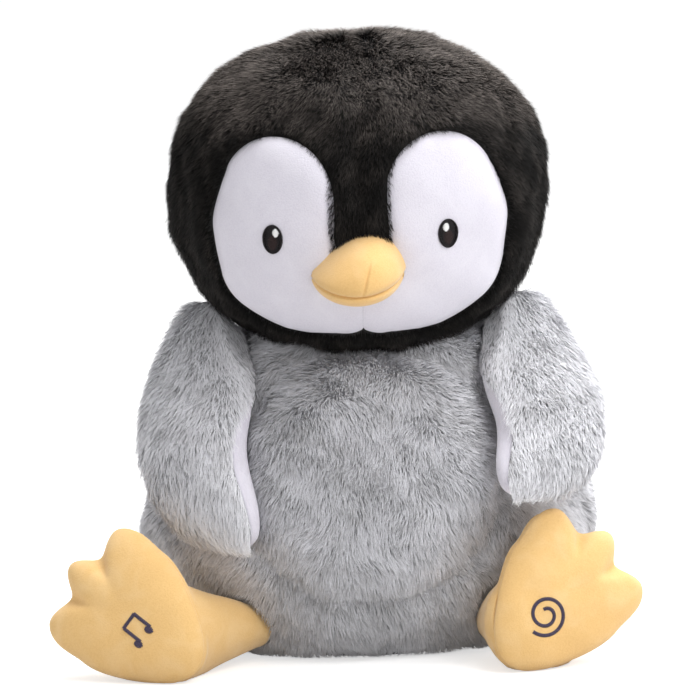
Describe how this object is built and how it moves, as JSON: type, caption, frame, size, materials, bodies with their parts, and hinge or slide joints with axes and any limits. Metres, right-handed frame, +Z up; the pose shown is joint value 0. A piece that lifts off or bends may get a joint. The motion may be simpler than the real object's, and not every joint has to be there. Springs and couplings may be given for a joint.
{
  "type": "plush penguin",
  "caption": "Seated plush penguin with furry head, body and wings, pale face, yellow beak and feet, and a drive inside that swings its wings and opens its beak.",
  "frame": {"origin": "middle of the flat seat, on the floor", "axes": "+Z up, -Y the way the penguin faces, +X its own left side"},
  "size_m": [0.2845, 0.2012, 0.302],
  "materials": {
    "grey_fur": "long soft pile, grey with pale tips",
    "black_fur": "long soft pile, black",
    "filling": "loose polyester fibre",
    "seat_cloth": "woven backing cloth",
    "tape": "hook and loop tape",
    "pale_velour": "short velour, pale lilac white",
    "black_thread": "satin stitch",
    "white_thread": "satin stitch",
    "yellow_velour": "short velour, pale yellow orange",
    "dark_plastic": "moulded",
    "light_plastic": "moulded",
    "red_plastic": "moulded",
    "steel": "plain",
    "cell_jacket": "printed sleeve, plain",
    "cone_paper": "pressed paper",
    "board_green": "solder mask",
    "wire_jacket": "soft"
  },
  "bodies": {
    "penguin": {"body_skin": "grey_fur", "body_stuffing": "filling", "seat_panel": "seat_cloth", "hook_tape": "tape", "loop_tape": "tape", "head_skin": "black_fur", "head_stuffing": "filling", "left_face": "pale_velour", "right_face": "pale_velour", "left_eye": "black_thread", "right_eye": "black_thread", "eye_glints": "white_thread", "upper_beak": "yellow_velour", "left_sole": "yellow_velour", "left_instep": "yellow_velour", "right_sole": "yellow_velour", "right_instep": "yellow_velour", "case_front": "dark_plastic", "case_back": "dark_plastic", "case_screws": "steel", "battery_door": "dark_plastic", "door_screw": "steel", "cells": "cell_jacket", "cell_contacts": "steel", "speaker_frame": "steel", "speaker_cone": "cone_paper", "circuit_board": "board_green", "switch_body": "dark_plastic", "wing_motor": "steel", "middle_pin": "steel", "neck_post": "dark_plastic", "neck_screws": "steel", "head_frame": "dark_plastic", "jaw_pin": "steel", "jaw_motor": "steel", "left_foot_switch": "dark_plastic", "left_foot_lead": "wire_jacket", "right_foot_switch": "dark_plastic", "right_foot_lead": "wire_jacket"},
    "left_wing": {"left_axle": "steel", "left_sector": "light_plastic", "left_arm": "light_plastic", "left_wing_fur": "grey_fur", "left_wing_lining": "pale_velour"},
    "right_wing": {"right_axle": "steel", "right_sector": "light_plastic", "right_arm": "light_plastic", "right_wing_fur": "grey_fur", "right_wing_lining": "pale_velour"},
    "middle_gear": {"middle_gear": "light_plastic"},
    "motor_pinion": {"motor_pinion": "light_plastic"},
    "jaw": {"jaw_lever": "light_plastic", "lower_beak": "yellow_velour"},
    "jaw_pinion": {"jaw_pinion": "light_plastic"},
    "switch_slider": {"switch_slider": "light_plastic"},
    "left_button": {"left_foot_button": "red_plastic"},
    "right_button": {"right_foot_button": "red_plastic"}
  },
  "joints": [
    {"name": "left_wing_swing", "type": "hinge", "parent": "penguin", "child": "left_wing", "pos_m": [0, -0.022, 0.1425], "axis": [-1, 0, 0], "range_deg": [0, 45]},
    {"name": "right_wing_swing", "type": "hinge", "parent": "penguin", "child": "right_wing", "pos_m": [0, -0.022, 0.1425], "axis": [-1, 0, 0], "range_deg": [0, 45]},
    {"name": "middle_gear_spin", "type": "hinge", "parent": "penguin", "child": "middle_gear", "pos_m": [0, -0.006, 0.12201], "axis": [-1, 0, 0], "range_deg": [-151, 1]},
    {"name": "motor_pinion_spin", "type": "hinge", "parent": "penguin", "child": "motor_pinion", "pos_m": [0, -0.006, 0.10121], "axis": [-1, 0, 0], "range_deg": [-1, 501]},
    {"name": "jaw_open", "type": "hinge", "parent": "penguin", "child": "jaw", "pos_m": [0, -0.05559, 0.19674], "axis": [1, 0, 0], "range_deg": [0, 10]},
    {"name": "jaw_pinion_spin", "type": "hinge", "parent": "penguin", "child": "jaw_pinion", "pos_m": [0, -0.03879, 0.19674], "axis": [1, 0, 0], "range_deg": [-26, 1]},
    {"name": "power_switch_slide", "type": "slide", "parent": "penguin", "child": "switch_slider", "axis": [1, 0, 0], "range_m": [0, 0.004]},
    {"name": "left_foot_press", "type": "slide", "parent": "penguin", "child": "left_button", "axis": [-0.3023, 0.9303, -0.2079], "range_m": [0, 0.0025], "stiffness_N_per_m": 400},
    {"name": "right_foot_press", "type": "slide", "parent": "penguin", "child": "right_button", "axis": [0.3023, 0.9303, -0.2079], "range_m": [0, 0.0025], "stiffness_N_per_m": 400}
  ],
  "couplings": [
    {"joint": "right_wing_swing", "follows": "left_wing_swing", "ratio": 1},
    {"joint": "middle_gear_spin", "follows": "left_wing_swing", "ratio": -3.3333},
    {"joint": "motor_pinion_spin", "follows": "left_wing_swing", "ratio": 11.111},
    {"joint": "jaw_pinion_spin", "follows": "jaw_open", "ratio": -2.5}
  ]
}
